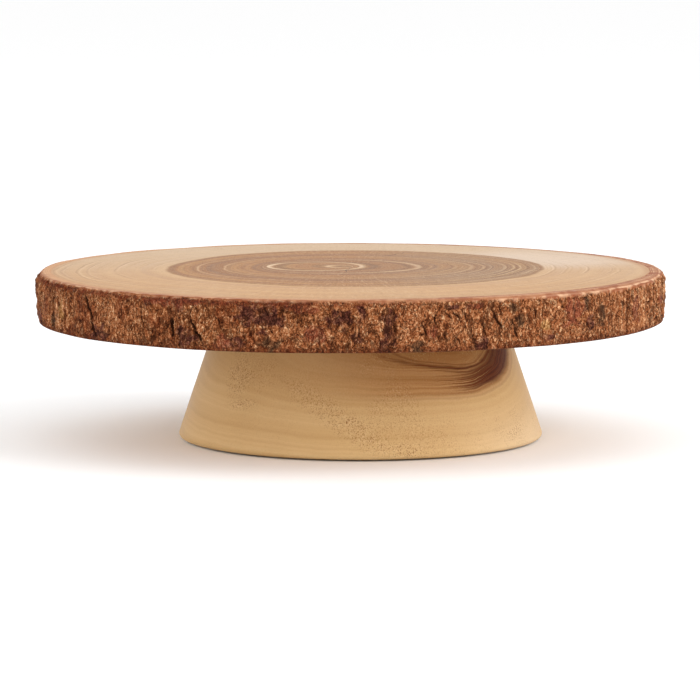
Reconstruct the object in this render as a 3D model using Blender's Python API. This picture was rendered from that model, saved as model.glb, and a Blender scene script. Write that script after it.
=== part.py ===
"""A log-slice cake stand: a cross-cut slice of a trunk, with its ring of bark, on a turned pedestal.

The slice is held by wood screws that pass up through the pedestal from counterbores in its underside, and the
pedestal stands on felt pads let into shallow recesses.

Frame: metres, +Z up. The origin is on the table, under the middle of the slice.
"""

import math

import bmesh
import bpy
from mathutils import Vector

# ---- Driving dimensions, in metres ----

# Slice and bark
SLICE_DIAMETER = 0.356  # mean, measured over the bark
SLICE_THICKNESS = 0.028
BARK_THICKNESS = 0.0090
BARK_TOP_ROUNDING = 0.0050
BARK_BOTTOM_ROUNDING = 0.0040
# The trunk isn't round: (lobes round the outline, height of each, angle of the first)
TRUNK_LOBES = ((2, 0.0011, 0.7), (3, 0.0009, 2.0), (5, 0.0006, 4.1))

# Pedestal
STAND_HEIGHT = 0.0955  # table to the top of the slice
PEDESTAL_TOP_DIAMETER = 0.1634
PEDESTAL_FOOT_DIAMETER = 0.2058
PEDESTAL_FOOT_ROUNDING = 0.0025
PEDESTAL_OFFSET = 0.0065  # the pedestal stands this far towards +X of the slice's middle

# Screws and washers: 5 mm pan-head wood screws
SCREW_COUNT = 4
SCREW_CIRCLE_DIAMETER = 0.090
SCREW_FIRST_ANGLE = math.radians(45)
SCREW_SINK = 0.0031  # from the pedestal's underside up to the crown of the head
SCREW_GRIP_IN_SLICE = 0.020  # how far the point reaches into the slice
THREAD_DIAMETER = 0.0050
THREAD_ROOT_DIAMETER = 0.0034
THREAD_PITCH = 0.0025
THREAD_LENGTH = 0.0425
THREAD_RIDGE_SHARE = 0.28  # half of the ridge's width, as a share of the pitch
POINT_LENGTH = 0.0045
POINT_SHARE = 0.08  # the point's blunt end, as a share of the screw's radius
HEAD_DIAMETER = 0.0095
HEAD_HEIGHT = 0.0034
# The head's side, from its crown to its seat: (share of the head's radius, share of its height)
HEAD_PROFILE = ((0.60, 1.0), (0.84, 0.90), (0.97, 0.62), (1.0, 0.30), (1.0, 0.0))
RECESS_SPAN = 0.0048
RECESS_SLOT = 0.0013
RECESS_DEPTH = 0.0020
RECESS_TAPER = 0.6  # the size of the cross at the recess's inner end, as a share of that at its mouth
WASHER_DIAMETER = 0.0105
WASHER_THICKNESS = 0.0010

# Felt pads
PAD_COUNT = 4
PAD_CIRCLE_DIAMETER = 0.150
PAD_FIRST_ANGLE = 0.0
PAD_DIAMETER = 0.0200
PAD_THICKNESS = 0.0022
PAD_RECESS_DEPTH = 0.0015
PAD_EDGE_ROUNDING = 0.0003

# Gaps
SEAT_GAP = 0.0003  # between faces that touch on the real stand
HOLE_CLEARANCE = 0.0003  # all round a screw's thread, in its holes and its washer
COUNTERBORE_CLEARANCE = 0.0010  # all round a washer

# Facets
OUTLINE_STEPS = 120
ROUNDING_STEPS = 4
HOLE_STEPS = 24
THREAD_STEPS = 12
THREAD_ROWS_PER_TURN = 4
CUTTER_OVERRUN = 0.002  # a cutter reaches this far past the face that it opens
SHARP_ANGLE = math.radians(35)  # edges that turn by more than this are shaded sharp

# Colours, linear: (red, green, blue), roughness, metallic
SAPWOOD = ((0.70, 0.47, 0.26), 0.50, 0.0)
BARK_BROWN = ((0.20, 0.085, 0.035), 0.85, 0.0)
PALE_WOOD = ((0.56, 0.37, 0.18), 0.50, 0.0)
STEEL = ((0.55, 0.56, 0.58), 0.35, 1.0)
FELT = ((0.19, 0.14, 0.10), 0.95, 0.0)

# ---- Places that follow from them ----

SLICE_BOTTOM = STAND_HEIGHT - SLICE_THICKNESS
PAD_STANDOUT = PAD_THICKNESS + SEAT_GAP - PAD_RECESS_DEPTH
PEDESTAL_BOTTOM = PAD_STANDOUT
PEDESTAL_TOP = SLICE_BOTTOM - SEAT_GAP
SCREW_TIP = SLICE_BOTTOM + SCREW_GRIP_IN_SLICE
SCREW_SEAT = PEDESTAL_BOTTOM + SCREW_SINK + HEAD_HEIGHT  # the head's underside, which bears on the washer
SCREW_LENGTH = SCREW_TIP - SCREW_SEAT  # under the head
COUNTERBORE_FLOOR = SCREW_SEAT + 2 * SEAT_GAP + WASHER_THICKNESS
SCREW_HOLE_DIAMETER = THREAD_DIAMETER + 2 * HOLE_CLEARANCE
COUNTERBORE_DIAMETER = WASHER_DIAMETER + 2 * COUNTERBORE_CLEARANCE


# ---- Shared modelling steps ----


def clear_scene():
    for obj in list(bpy.data.objects):
        bpy.data.objects.remove(obj, do_unlink=True)


def material(name, look):
    colour, roughness, metallic = look
    made = bpy.data.materials.new(name)
    made.use_nodes = True
    shader = made.node_tree.nodes["Principled BSDF"]
    shader.inputs["Base Color"].default_value = (*colour, 1.0)
    shader.inputs["Roughness"].default_value = roughness
    shader.inputs["Metallic"].default_value = metallic
    made.diffuse_color = (*colour, 1.0)
    return made


def add_object(name, mesh, place=(0.0, 0.0, 0.0), turn=0.0):
    obj = bpy.data.objects.new(name, mesh)
    obj.location = place
    obj.rotation_euler = (0.0, 0.0, turn)
    bpy.context.scene.collection.objects.link(obj)
    return obj


def mesh_of_rings(name, rings, close_loop=False, look=None):
    """A closed mesh through rings of points, each counter-clockwise from above, listed from the bottom up.

    The two ends are capped, or joined to each other if close_loop is set.
    """
    bm = bmesh.new()
    rows = [[bm.verts.new(point) for point in ring] for ring in rings]
    pairs = list(zip(rows, rows[1:]))
    if close_loop:
        pairs.append((rows[-1], rows[0]))
    for low, high in pairs:
        count = len(low)
        for i in range(count):
            j = (i + 1) % count
            bm.faces.new((low[i], low[j], high[j], high[i]))
    if not close_loop:
        bm.faces.new(list(reversed(rows[0])))
        bm.faces.new(rows[-1])
    bmesh.ops.recalc_face_normals(bm, faces=bm.faces)
    mesh = bpy.data.meshes.new(name)
    bm.to_mesh(mesh)
    bm.free()
    mesh.shade_smooth()
    mesh.set_sharp_from_angle(angle=SHARP_ANGLE)
    if look is not None:
        mesh.materials.append(look)
    return mesh


def circle(radius, height, steps=HOLE_STEPS):
    angles = (math.tau * i / steps for i in range(steps))
    return [Vector((radius * math.cos(a), radius * math.sin(a), height)) for a in angles]


def turned(name, profile, steps=HOLE_STEPS, look=None):
    """A solid turned about Z from a profile of (radius, height), listed from the bottom up."""
    return mesh_of_rings(name, [circle(r, z, steps) for r, z in profile], look=look)


def round_places(count, diameter, first_angle):
    """(angle, x, y) of each of count places on a circle round the pedestal's axis."""
    for i in range(count):
        angle = first_angle + math.tau * i / count
        x = PEDESTAL_OFFSET + diameter / 2 * math.cos(angle)
        yield angle, x, diameter / 2 * math.sin(angle)


def screw_places():
    return round_places(SCREW_COUNT, SCREW_CIRCLE_DIAMETER, SCREW_FIRST_ANGLE)


def pad_places():
    return round_places(PAD_COUNT, PAD_CIRCLE_DIAMETER, PAD_FIRST_ANGLE)


def cut(target, cutter):
    cutter.hide_render = True
    cutter.display_type = "WIRE"
    boolean = target.modifiers.new("cut_" + cutter.name, "BOOLEAN")
    boolean.operation = "DIFFERENCE"
    boolean.solver = "EXACT"
    boolean.object = cutter


# ---- Slice and bark ----


def trunk_ring(inset, height):
    """A ring of points on the trunk's natural outline, taken in by inset."""
    points = []
    for i in range(OUTLINE_STEPS):
        angle = math.tau * i / OUTLINE_STEPS
        lobes = sum(size * math.cos(count * (angle - turn)) for count, size, turn in TRUNK_LOBES)
        radius = SLICE_DIAMETER / 2 + lobes - inset
        points.append(Vector((radius * math.cos(angle), radius * math.sin(angle), height)))
    return points


def slice_and_pilot_holes(look):
    inset = BARK_THICKNESS + SEAT_GAP
    rings = [trunk_ring(inset, SLICE_BOTTOM), trunk_ring(inset, STAND_HEIGHT)]
    wood = add_object("wood_slice", mesh_of_rings("wood_slice", rings, look=look))
    tip = SCREW_TIP + SEAT_GAP
    profile = (
        (SCREW_HOLE_DIAMETER / 2, SLICE_BOTTOM - CUTTER_OVERRUN),
        (SCREW_HOLE_DIAMETER / 2, tip),
    )
    drill = turned("pilot_drill", profile)
    for i, (_, x, y) in enumerate(screw_places(), 1):
        cut(wood, add_object(f"pilot_drill_{i}", drill, (x, y, 0.0)))


def bark_ring(look):
    """The bark all round the slice, with its top and bottom outer edges rounded over."""
    top, bottom = BARK_TOP_ROUNDING, BARK_BOTTOM_ROUNDING
    rings = [trunk_ring(BARK_THICKNESS, SLICE_BOTTOM)]
    for i in range(ROUNDING_STEPS + 1):
        a = math.pi / 2 * i / ROUNDING_STEPS
        rings.append(trunk_ring(bottom * (1 - math.sin(a)), SLICE_BOTTOM + bottom * (1 - math.cos(a))))
    for i in range(ROUNDING_STEPS + 1):
        a = math.pi / 2 * i / ROUNDING_STEPS
        rings.append(trunk_ring(top * (1 - math.cos(a)), STAND_HEIGHT - top * (1 - math.sin(a))))
    rings.append(trunk_ring(BARK_THICKNESS, STAND_HEIGHT))
    add_object("bark_ring", mesh_of_rings("bark_ring", rings, close_loop=True, look=look))


# ---- Pedestal ----


def pedestal(look):
    """The turned cone, with stepped screw holes and recesses for the pads cut up into its underside."""
    rounding = PEDESTAL_FOOT_ROUNDING
    profile = [
        (
            PEDESTAL_FOOT_DIAMETER / 2 - rounding * (1 - math.sin(a)),
            PEDESTAL_BOTTOM + rounding * (1 - math.cos(a)),
        )
        for a in (math.pi / 2 * i / ROUNDING_STEPS for i in range(ROUNDING_STEPS + 1))
    ]
    profile.append((PEDESTAL_TOP_DIAMETER / 2, PEDESTAL_TOP))
    cone = turned("pedestal", profile, OUTLINE_STEPS, look)
    body = add_object("pedestal", cone, (PEDESTAL_OFFSET, 0.0, 0.0))
    stepped_profile = (
        (COUNTERBORE_DIAMETER / 2, PEDESTAL_BOTTOM - CUTTER_OVERRUN),
        (COUNTERBORE_DIAMETER / 2, COUNTERBORE_FLOOR),
        (SCREW_HOLE_DIAMETER / 2, COUNTERBORE_FLOOR),
        (SCREW_HOLE_DIAMETER / 2, PEDESTAL_TOP + CUTTER_OVERRUN),
    )
    stepped_drill = turned("stepped_drill", stepped_profile)
    for i, (_, x, y) in enumerate(screw_places(), 1):
        cut(body, add_object(f"stepped_drill_{i}", stepped_drill, (x, y, 0.0)))
    recess_radius = PAD_DIAMETER / 2 + SEAT_GAP
    recess_profile = (
        (recess_radius, PEDESTAL_BOTTOM - CUTTER_OVERRUN),
        (recess_radius, PEDESTAL_BOTTOM + PAD_RECESS_DEPTH),
    )
    recess_drill = turned("recess_drill", recess_profile, 2 * HOLE_STEPS)
    for i, (_, x, y) in enumerate(pad_places(), 1):
        cut(body, add_object(f"recess_drill_{i}", recess_drill, (x, y, 0.0)))


# ---- Screws, washers and pads ----


def thread_radius(height, angle):
    """A screw's radius on its threaded stretch: a helical ridge on the root, narrowing to a point."""
    root, crest = THREAD_ROOT_DIAMETER / 2, THREAD_DIAMETER / 2
    turn = ((height - SCREW_LENGTH) / THREAD_PITCH - angle / math.tau) % 1.0
    ridge = max(0.0, 1.0 - abs(turn - 0.5) / THREAD_RIDGE_SHARE)
    fade_in = min(1.0, (height - SCREW_LENGTH + THREAD_LENGTH) / THREAD_PITCH)
    to_point = min(1.0, (SCREW_LENGTH - height) / POINT_LENGTH)
    return (root + (crest - root) * ridge * fade_in) * max(to_point, POINT_SHARE)


def screw_mesh(look):
    """A pan-head wood screw pointing up, with its seat under the head at height 0."""
    radius = HEAD_DIAMETER / 2
    rings = [circle(radius * wide, -HEAD_HEIGHT * low, THREAD_STEPS) for wide, low in HEAD_PROFILE]
    rings.append(circle(THREAD_ROOT_DIAMETER / 2, 0.0, THREAD_STEPS))
    rows = math.ceil(THREAD_LENGTH / THREAD_PITCH * THREAD_ROWS_PER_TURN)
    for row in range(rows + 1):
        height = SCREW_LENGTH - THREAD_LENGTH * (1 - row / rows)
        ring = []
        for i in range(THREAD_STEPS):
            angle = math.tau * i / THREAD_STEPS
            radius = thread_radius(height, angle)
            ring.append(Vector((radius * math.cos(angle), radius * math.sin(angle), height)))
        rings.append(ring)
    return mesh_of_rings("screw", rings, look=look)


def cross_recess_mesh():
    """The cutter for the cross recess in a screw's head: an outline with twelve corners, tapering upwards."""
    long, short = RECESS_SPAN / 2, RECESS_SLOT / 2
    quarter = ((long, -short), (long, short), (short, short))
    low, high = [], []
    for q in range(4):
        a = math.pi / 2 * q
        for x, y in quarter:
            corner = Vector((x * math.cos(a) - y * math.sin(a), x * math.sin(a) + y * math.cos(a), 0.0))
            low.append(corner + Vector((0.0, 0.0, -HEAD_HEIGHT - CUTTER_OVERRUN)))
            high.append(corner * RECESS_TAPER + Vector((0.0, 0.0, RECESS_DEPTH - HEAD_HEIGHT)))
    return mesh_of_rings("cross_recess", [low, high])


def washer_mesh(look):
    inner, outer = SCREW_HOLE_DIAMETER / 2, WASHER_DIAMETER / 2
    profile = ((inner, 0.0), (outer, 0.0), (outer, WASHER_THICKNESS), (inner, WASHER_THICKNESS))
    return mesh_of_rings("washer", [circle(r, z) for r, z in profile], close_loop=True, look=look)


def screws_and_washers(look):
    screw, recess, washer = screw_mesh(look), cross_recess_mesh(), washer_mesh(look)
    for i, (angle, x, y) in enumerate(screw_places(), 1):
        body = add_object(f"screw_{i}", screw, (x, y, SCREW_SEAT), angle)
        cut(body, add_object(f"cross_recess_{i}", recess, (x, y, SCREW_SEAT), angle))
        add_object(f"washer_{i}", washer, (x, y, SCREW_SEAT + SEAT_GAP))


def felt_pads(look):
    radius, edge = PAD_DIAMETER / 2, PAD_EDGE_ROUNDING
    top = PAD_THICKNESS
    profile = ((radius - edge, 0.0), (radius, edge), (radius, top - edge), (radius - edge, top))
    pad = turned("felt_pad", profile, 2 * HOLE_STEPS, look)
    for i, (_, x, y) in enumerate(pad_places(), 1):
        add_object(f"felt_pad_{i}", pad, (x, y, 0.0))


def main():
    clear_scene()
    slice_and_pilot_holes(material("sapwood", SAPWOOD))
    bark_ring(material("bark", BARK_BROWN))
    pedestal(material("pale_wood", PALE_WOOD))
    screws_and_washers(material("steel", STEEL))
    felt_pads(material("felt", FELT))


main()
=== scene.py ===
"""The looks of the log-slice cake stand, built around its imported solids.

The bark, pedestal, screws, washers and pads are modelled here at full detail, in the places that the frame
gives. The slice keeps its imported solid, under a procedural end-grain material.

Frame: metres, +Z up, the origin on the table under the middle of the slice. Angles on the stand are given in
degrees from its front (-Y) towards its right (+X).
"""

import math

import bmesh
import bpy
import numpy as np
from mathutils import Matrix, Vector, noise


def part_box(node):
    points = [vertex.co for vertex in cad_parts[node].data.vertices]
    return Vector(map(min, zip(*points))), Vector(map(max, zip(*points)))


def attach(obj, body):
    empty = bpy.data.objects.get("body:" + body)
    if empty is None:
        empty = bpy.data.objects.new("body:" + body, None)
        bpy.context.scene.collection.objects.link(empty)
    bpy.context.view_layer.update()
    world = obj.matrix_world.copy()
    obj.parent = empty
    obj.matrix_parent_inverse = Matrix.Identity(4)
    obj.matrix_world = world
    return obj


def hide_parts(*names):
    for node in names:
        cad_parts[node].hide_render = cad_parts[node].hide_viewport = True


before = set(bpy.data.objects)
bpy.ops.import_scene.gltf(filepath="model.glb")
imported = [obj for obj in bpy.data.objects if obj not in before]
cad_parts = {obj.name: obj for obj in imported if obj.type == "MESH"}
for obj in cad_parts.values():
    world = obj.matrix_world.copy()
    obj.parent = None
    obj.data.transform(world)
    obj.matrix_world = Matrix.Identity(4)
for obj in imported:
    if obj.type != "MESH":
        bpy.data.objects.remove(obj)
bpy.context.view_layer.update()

# ---- Places read from the frame ----

slice_low, slice_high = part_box("wood_slice")
bark_low, bark_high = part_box("bark_ring")
pedestal_low, pedestal_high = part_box("pedestal")
TOP, UNDERSIDE = bark_high.z, bark_low.z
SLICE_RADIUS = (slice_high.x - slice_low.x) / 2
PEDESTAL_AXIS = Vector(((pedestal_low.x + pedestal_high.x) / 2, (pedestal_low.y + pedestal_high.y) / 2, 0.0))

# ---- Camera and light ----

CAMERA_PLACE = (0.0005, -2.266, 0.3067)
CAMERA_PITCH = math.radians(-6.472)
CAMERA_LENS = 207.0  # mm, on a 36 mm sensor
FLOOR_SIZE = 44.0
FLOOR_COLOUR = (0.95, 0.95, 0.95, 1.0)
AIR_COLOUR = (1.0, 1.0, 1.0, 1.0)
AIR_STRENGTH = 1.03
# Soft boxes: (name, place, side, power in watts)
SOFT_BOXES = (
    ("key_light", (2.4, -1.1, 1.4), 2.2, 60.0),
    ("fill_light", (-2.2, -1.3, 1.2), 1.6, 19.0),
)

# ---- Bark ----

BARK_WIDTH = 0.0093  # from the wood to the outside
BARK_TOP_ROUNDING = 0.005
BARK_BOTTOM_ROUNDING = 0.004
BARK_COLUMNS = 1600
BARK_SETBACK = 0.0011  # keeps the crumbs of the bark, on average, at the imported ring's surface
# The rounded top edge is sanded smooth up to this share of its turn, and further round to the right
SANDED_TO, SANDED_FURTHER = 0.06, 0.42
SANDED_RIGHT = (52.0, 66.0)
OUTLINE_BINS = 60
OUTLINE_WAVES = 6
# Marks on the bark: (angle, height above the underside, half width, half height), degrees and millimetres
PLUM_MARKS = (
    (-48.6, 3.5, 6.5, 5), (-36.6, 23.3, 2.2, 2.4), (-29.8, 22.3, 3, 2.4), (-28.8, 7.3, 6.5, 6),
    (-17, 20.5, 7, 6), (-13.5, 19, 8, 7.5), (-19.5, 4, 5, 3.5), (-1.6, 18, 8, 5.5),
    (2.2, 22.8, 3, 3.5), (7, 18.5, 4.2, 4.6), (6.6, 8, 4, 7.5), (1, 9, 4, 3),
    (24, 4, 5, 3), (37, 5, 4, 2), (47.5, 9.5, 3, 4), (18, 24, 4, 1.6),
)
SLATE_MARKS = (
    (-66, 5.7, 3, 4), (-13, 5, 6, 3.6), (11.6, 2.8, 7, 2.6), (29.6, 22.3, 3.4, 2.8),
    (31.2, 14.8, 3, 3.4), (46.6, 21.5, 2.4, 4.4), (50.6, 13.4, 3, 6.6), (57, 18, 1.6, 3),
)
RED_MARKS = (
    (43, 18, 8.5, 8.5), (14.6, 9.5, 3.2, 5), (-31, 25, 19, 2.4), (-8, 24, 12, 2.4),
    (-22, 4, 4, 4), (-6, 10, 7, 4), (62, 14, 5, 8), (22, 24, 7, 1.8),
)
YELLOW_MARKS = ((36.4, 11.7, 4.5, 2.6), (-62, 13, 3, 6))
# Fissures: (angle and height of one end, angle and height of the other, half width, depth)
FISSURES = (
    (-53.4, 28, -49.4, 0, 0.5, 2.2), (-31.7, 17, -31.3, 6, 0.65, 2.2),
    (-31.6, 23, -31.7, 17, 0.35, 0.9), (-28, 17.5, -25.3, 2, 0.48, 1.8),
    (-27.4, 23, -28, 17.5, 0.4, 0.7), (-23.5, 21, -22, 10, 0.4, 0.8),
    (-38, 20, -37.4, 6, 0.4, 0.7), (-59, 22, -58, 5, 0.4, 0.8),
    (18, 22, 20, 15, 0.5, 1), (25, 23, 28, 9, 0.6, 1.1),
    (32.6, 20, 33.2, 12, 0.5, 0.9), (16.6, 12, 17, 3, 0.4, 0.8),
    (56.5, 20, 61.5, 12, 0.5, 0.9), (21.5, 14, 22.3, 4, 0.4, 0.9),
    (36, 22, 35.4, 16, 0.4, 0.7), (14.6, 22, 15.4, 12, 0.4, 0.9),
    (16.8, 21, 18, 17, 0.45, 0.9), (20.4, 22, 20.8, 14.5, 0.4, 0.9),
    (23.2, 19, 24.6, 6, 0.4, 0.9), (26.6, 24, 27.6, 17, 0.5, 1.1),
    (29.6, 17, 30.4, 5, 0.45, 1), (18.4, 10, 19.6, 2.5, 0.4, 0.8),
    (34.2, 23, 34.4, 11, 0.45, 1), (12.4, 19, 13.4, 8, 0.4, 0.8),
)
# The rest of the way round, at random over the back: (marks, how many, half widths, half heights)
BACK_FROM, BACK_TO = 72.0, 288.0
MARKS = {
    "plum": (PLUM_MARKS, 28, (3, 8), (2, 7)),
    "slate": (SLATE_MARKS, 12, (2, 5), (2, 5)),
    "red": (RED_MARKS, 16, (3, 9), (2, 8)),
    "yellow": (YELLOW_MARKS, 8, (3, 5), (2, 5)),
}
BACK_FISSURES = 30
RELIEF_SCALE = 0.0009  # metres of relief for each unit of the bark's relief and fissure layers
RANDOM_SEED = 11

# ---- Wood ----

# The growth rings are circles whose middle wandered as the tree grew: (radius, middle), from the pith out.
# The middle always moves less than the radius grows, so no two rings cross.
RING_MIDDLES = (
    (0.0, (0.0005, 0.019, 0.0)),
    (0.0265, (-0.0205, 0.019, 0.0)),
    (0.045, (-0.0045, 0.017, 0.0)),
    (0.108, (0.003, 0.0105, 0.0)),
    (0.169, (0.0, 0.0, 0.0)),
)
HEART_CENTRE = (0.0035, 0.01, 0.0)
HEART_HALF_WIDTH, HEART_HALF_DEPTH = 0.1065, 0.1115
# Where the sapwood is bleached, at the back right
BLEACHED_PLACE = (0.112, 0.066, 0.0)
# Pale rings in the heart: (radius, half thickness, strength)
PALE_RINGS = (
    (0.007, 0.0018, 0.75), (0.0265, 0.002, 0.85), (0.043, 0.0016, 0.55),
    (0.07, 0.0012, 0.3), (0.087, 0.0012, 0.3),
)
# Dark growth lines in the sapwood: (radius, half thickness, strength)
SAP_LINES = (
    (0.1145, 0.0008, 0.4), (0.1215, 0.0006, 0.25), (0.1345, 0.0008, 0.55), (0.149, 0.0007, 0.4),
    (0.154, 0.0008, 0.55), (0.1615, 0.0007, 0.35), (0.165, 0.0009, 0.35),
)
# Hairline cracks: (start, end, half width)
HAIRLINES = (
    ((0.017, 0.073, 0.0), (0.038, 0.119, 0.0), 0.0008),
    ((0.001, 0.015, 0.0), (-0.004, -0.028, 0.0), 0.0006),
    ((-0.02, 0.03, 0.0), (-0.062, 0.048, 0.0), 0.0005),
)

# ---- Pedestal ----

# The brown heart shows as nested arcs round a point on the side: its angle and height, and how far they reach
HEART_ANGLE, HEART_HEIGHT = math.radians(36), 0.059
HEART_RIGHT, HEART_LEFT, HEART_DOWN = 0.067, 0.19, 0.0275
# Dark trails drawn out of the heart to the left. They cross its arcs at a slant, in arcs for each radian:
# (arc at the front, half width, angles where they start and are full, strength)
HEART_SLANT = 0.3
HEART_TRAILS = (
    (0.235, 0.06, -4, 30, 0.95), (0.305, 0.034, 18, 42, 0.85), (0.165, 0.028, -14, 24, 0.5),
    (0.41, 0.055, 26, 46, 0.9), (0.5, 0.04, 30, 46, 0.7),
)
# Its underside shows end grain instead, in rings round a pith of its own: how far in from the side that
# starts and is full, the pith, and how close the rings are
UNDER_FROM, UNDER_TO = 0.001, 0.0035
UNDER_PITH = (0.024, -0.017, 0.0)
UNDER_RINGS = 20.0
# Where its pores crowd: (angle, height, half width, half height, lean), degrees and metres
POROUS_PATCHES = (
    (-5.5, 0.0205, 0.042, 0.01, -0.62), (-48, 0.042, 0.013, 0.013, 0),
    (-44, 0.0275, 0.012, 0.004, 0.1), (14, 0.006, 0.016, 0.006, -0.1),
    (58, 0.01, 0.012, 0.004, 0.3), (130, 0.03, 0.03, 0.01, 0.4),
    (185, 0.022, 0.036, 0.009, -0.4), (-120, 0.035, 0.028, 0.012, 0.2),
)
PEDESTAL_COLUMNS = 256
PEDESTAL_ROWS = 36
PEDESTAL_WAVER = 0.00012  # how far hand sanding has left the turned side from true
FOOT_ROUNDING = 0.0025
SEAT_GAP = 0.0003
# Holes in its underside: (what sits in them, name, clearance all round, steps round)
HOLES = (("washer", "counterbore", 0.001, 48), ("felt_pad", "pad_recess", 0.0003, 64))
HOLE_OVERRUN = 0.002

# ---- Screws, washers and pads ----

SCREW_STEPS = 32
THREAD_ROOT = 0.0017
THREAD_CREST = 0.0025
THREAD_PITCH = 0.0025
THREAD_LENGTH = 0.0425
THREAD_RIDGE_SHARE = 0.28
POINT_LENGTH = 0.0045
POINT_SHARE = 0.05
HEAD_HEIGHT = 0.0034
HEAD_RADIUS = 0.00475
# The pan head's side from its crown to its seat: (share of its radius, share of its height)
HEAD_PROFILE = (
    (0.2, 1.0), (0.6, 0.985), (0.76, 0.95), (0.86, 0.88), (0.93, 0.76), (0.98, 0.58), (1.0, 0.36),
    (1.0, 0.05), (0.985, 0.0),
)
RECESS_LONG, RECESS_SHORT, RECESS_DEPTH, RECESS_TAPER = 0.0024, 0.00065, 0.002, 0.6
WASHER_EASE = 0.00015
PAD_EASE = 0.0005
PAD_FUZZ_ROUND, PAD_FUZZ_FACE = 0.006, 0.00007  # as a share of the radius, and in metres
WASHER_STEPS, PAD_STEPS = 64, 160

# ---- Colours, in linear light. Ramps are lists of (value of a noise, colour) ----

SAPWOOD = ((0.36, (0.43, 0.225, 0.096)), (0.5, (0.485, 0.27, 0.122)), (0.64, (0.54, 0.325, 0.162)))
SAP_CLOUDS = (0.54, 0.345, 0.192)
# Painted reflection: the sapwood made paler and whiter towards the back
SAP_BACK_REFLECTION = (0.54, 0.395, 0.262)
SAP_BLEACHED = (0.62, 0.49, 0.385)
SAP_FINE = (0.37, 0.205, 0.092)
SAP_LINE = (0.26, 0.135, 0.06)
SAP_GLINT = (0.75, 0.57, 0.38)
HEARTWOOD = ((0.36, (0.22, 0.085, 0.022)), (0.5, (0.345, 0.148, 0.045)), (0.64, (0.46, 0.25, 0.1)))
GREY_HEART = ((0.38, (0.15, 0.068, 0.026)), (0.52, (0.31, 0.172, 0.084)), (0.64, (0.52, 0.355, 0.205)))
HEART_FINE = (0.23, 0.09, 0.024)
PALE_RING, PALE_RING_RIM = (0.72, 0.54, 0.36), (0.15, 0.062, 0.022)
PITH = (0.09, 0.035, 0.012)
HEART_BORDER = (0.24, 0.105, 0.035)
SLICE_RIM = (0.42, 0.205, 0.095)
OPEN_PORES = (0.14, 0.068, 0.03)
LIGHT_GRIT = (0.66, 0.48, 0.305)
DARK_RAYS, LIGHT_RAYS = (0.19, 0.095, 0.042), (0.68, 0.5, 0.325)
HAIRLINE = (0.1, 0.045, 0.02)
RUST = (
    (0.34, (0.06, 0.015, 0.004)), (0.43, (0.2, 0.056, 0.017)), (0.5, (0.31, 0.106, 0.038)),
    (0.57, (0.43, 0.176, 0.072)), (0.67, (0.76, 0.45, 0.245)),
)
REDDER, LOWER_EDGE = (0.52, 0.26, 0.16), (0.4, 0.22, 0.16)  # multiplied in
PLUM = ((0.36, (0.024, 0.006, 0.003)), (0.5, (0.088, 0.022, 0.013)), (0.64, (0.22, 0.08, 0.048)))
SLATE = ((0.36, (0.026, 0.009, 0.003)), (0.5, (0.1, 0.042, 0.019)), (0.64, (0.24, 0.12, 0.055)))
BRICK = ((0.36, (0.085, 0.014, 0.005)), (0.52, (0.215, 0.046, 0.02)), (0.68, (0.42, 0.17, 0.09)))
MOSS = ((0.38, (0.15, 0.07, 0.018)), (0.6, (0.46, 0.27, 0.075)))
LIP = (0.15, 0.026, 0.01)
SANDED_BARK = ((0.36, (0.26, 0.09, 0.04)), (0.5, (0.42, 0.2, 0.105)), (0.64, (0.6, 0.36, 0.22)))
SANDED_DARK, SANDED_INNER = (0.24, 0.07, 0.032), (0.58, 0.335, 0.18)
# Painted shade in the bark's hollows, cracks and fissures
CAVITY_SHADE = (0.022, 0.006, 0.002)
TURNED_WOOD = ((0.3, (0.54, 0.345, 0.148)), (0.5, (0.6, 0.395, 0.183)), (0.7, (0.65, 0.45, 0.222)))
TURNED_CLOUDS, TURNED_FINE = (0.5, 0.31, 0.132), (0.43, 0.25, 0.105)
# The first of these is a painted shadow of the slice over the pedestal's upper front, the third painted light
# on its lower right
TURNED_SLICE_SHADOW, TURNED_GROWTH, TURNED_LIT_LOW_RIGHT = (0.39, 0.205, 0.083), (0.36, 0.2, 0.085), (0.66, 0.49, 0.3)
STAIN = ((0.36, (0.26, 0.1, 0.024)), (0.5, (0.34, 0.15, 0.046)), (0.64, (0.42, 0.21, 0.075)))
STAIN_INMOST, STAIN_OUTLINE = (0.25, 0.098, 0.024), (0.3, 0.15, 0.06)
DARK_HEART = ((0.36, (0.058, 0.009, 0.001)), (0.5, (0.082, 0.014, 0.001)), (0.64, (0.135, 0.031, 0.004)))
TURNED_PORES, TURNED_FLECKS = (0.19, 0.07, 0.014), (0.74, 0.55, 0.32)
ZINC = ((0.3, (0.44, 0.45, 0.47)), (0.7, (0.66, 0.67, 0.68)))
FELT = ((0.34, (0.075, 0.05, 0.033)), (0.52, (0.17, 0.12, 0.085)), (0.68, (0.3, 0.23, 0.165)))


def smooth_step(low, high, value):
    share = np.clip((value - low) / (high - low), 0.0, 1.0)
    return share * share * (3.0 - 2.0 * share)


def near_angle(degrees, middle, half_width):
    """1 at an angle, falling to 0 at half_width either side of it."""
    return smooth_step(half_width, 0.0, np.abs((degrees - middle + 180.0) % 360.0 - 180.0))


def quarter_turn(steps):
    """Angles from 0 to a right angle."""
    return [math.pi / 2 * share for share in np.linspace(0.0, 1.0, steps)]


def new_object(name, mesh, nodes, place=(0.0, 0.0, 0.0)):
    """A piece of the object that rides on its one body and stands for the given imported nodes."""
    piece = bpy.data.objects.new(name, mesh)
    piece.location = place
    bpy.context.scene.collection.objects.link(piece)
    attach(piece, "root")
    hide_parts(*nodes)
    return piece


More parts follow.
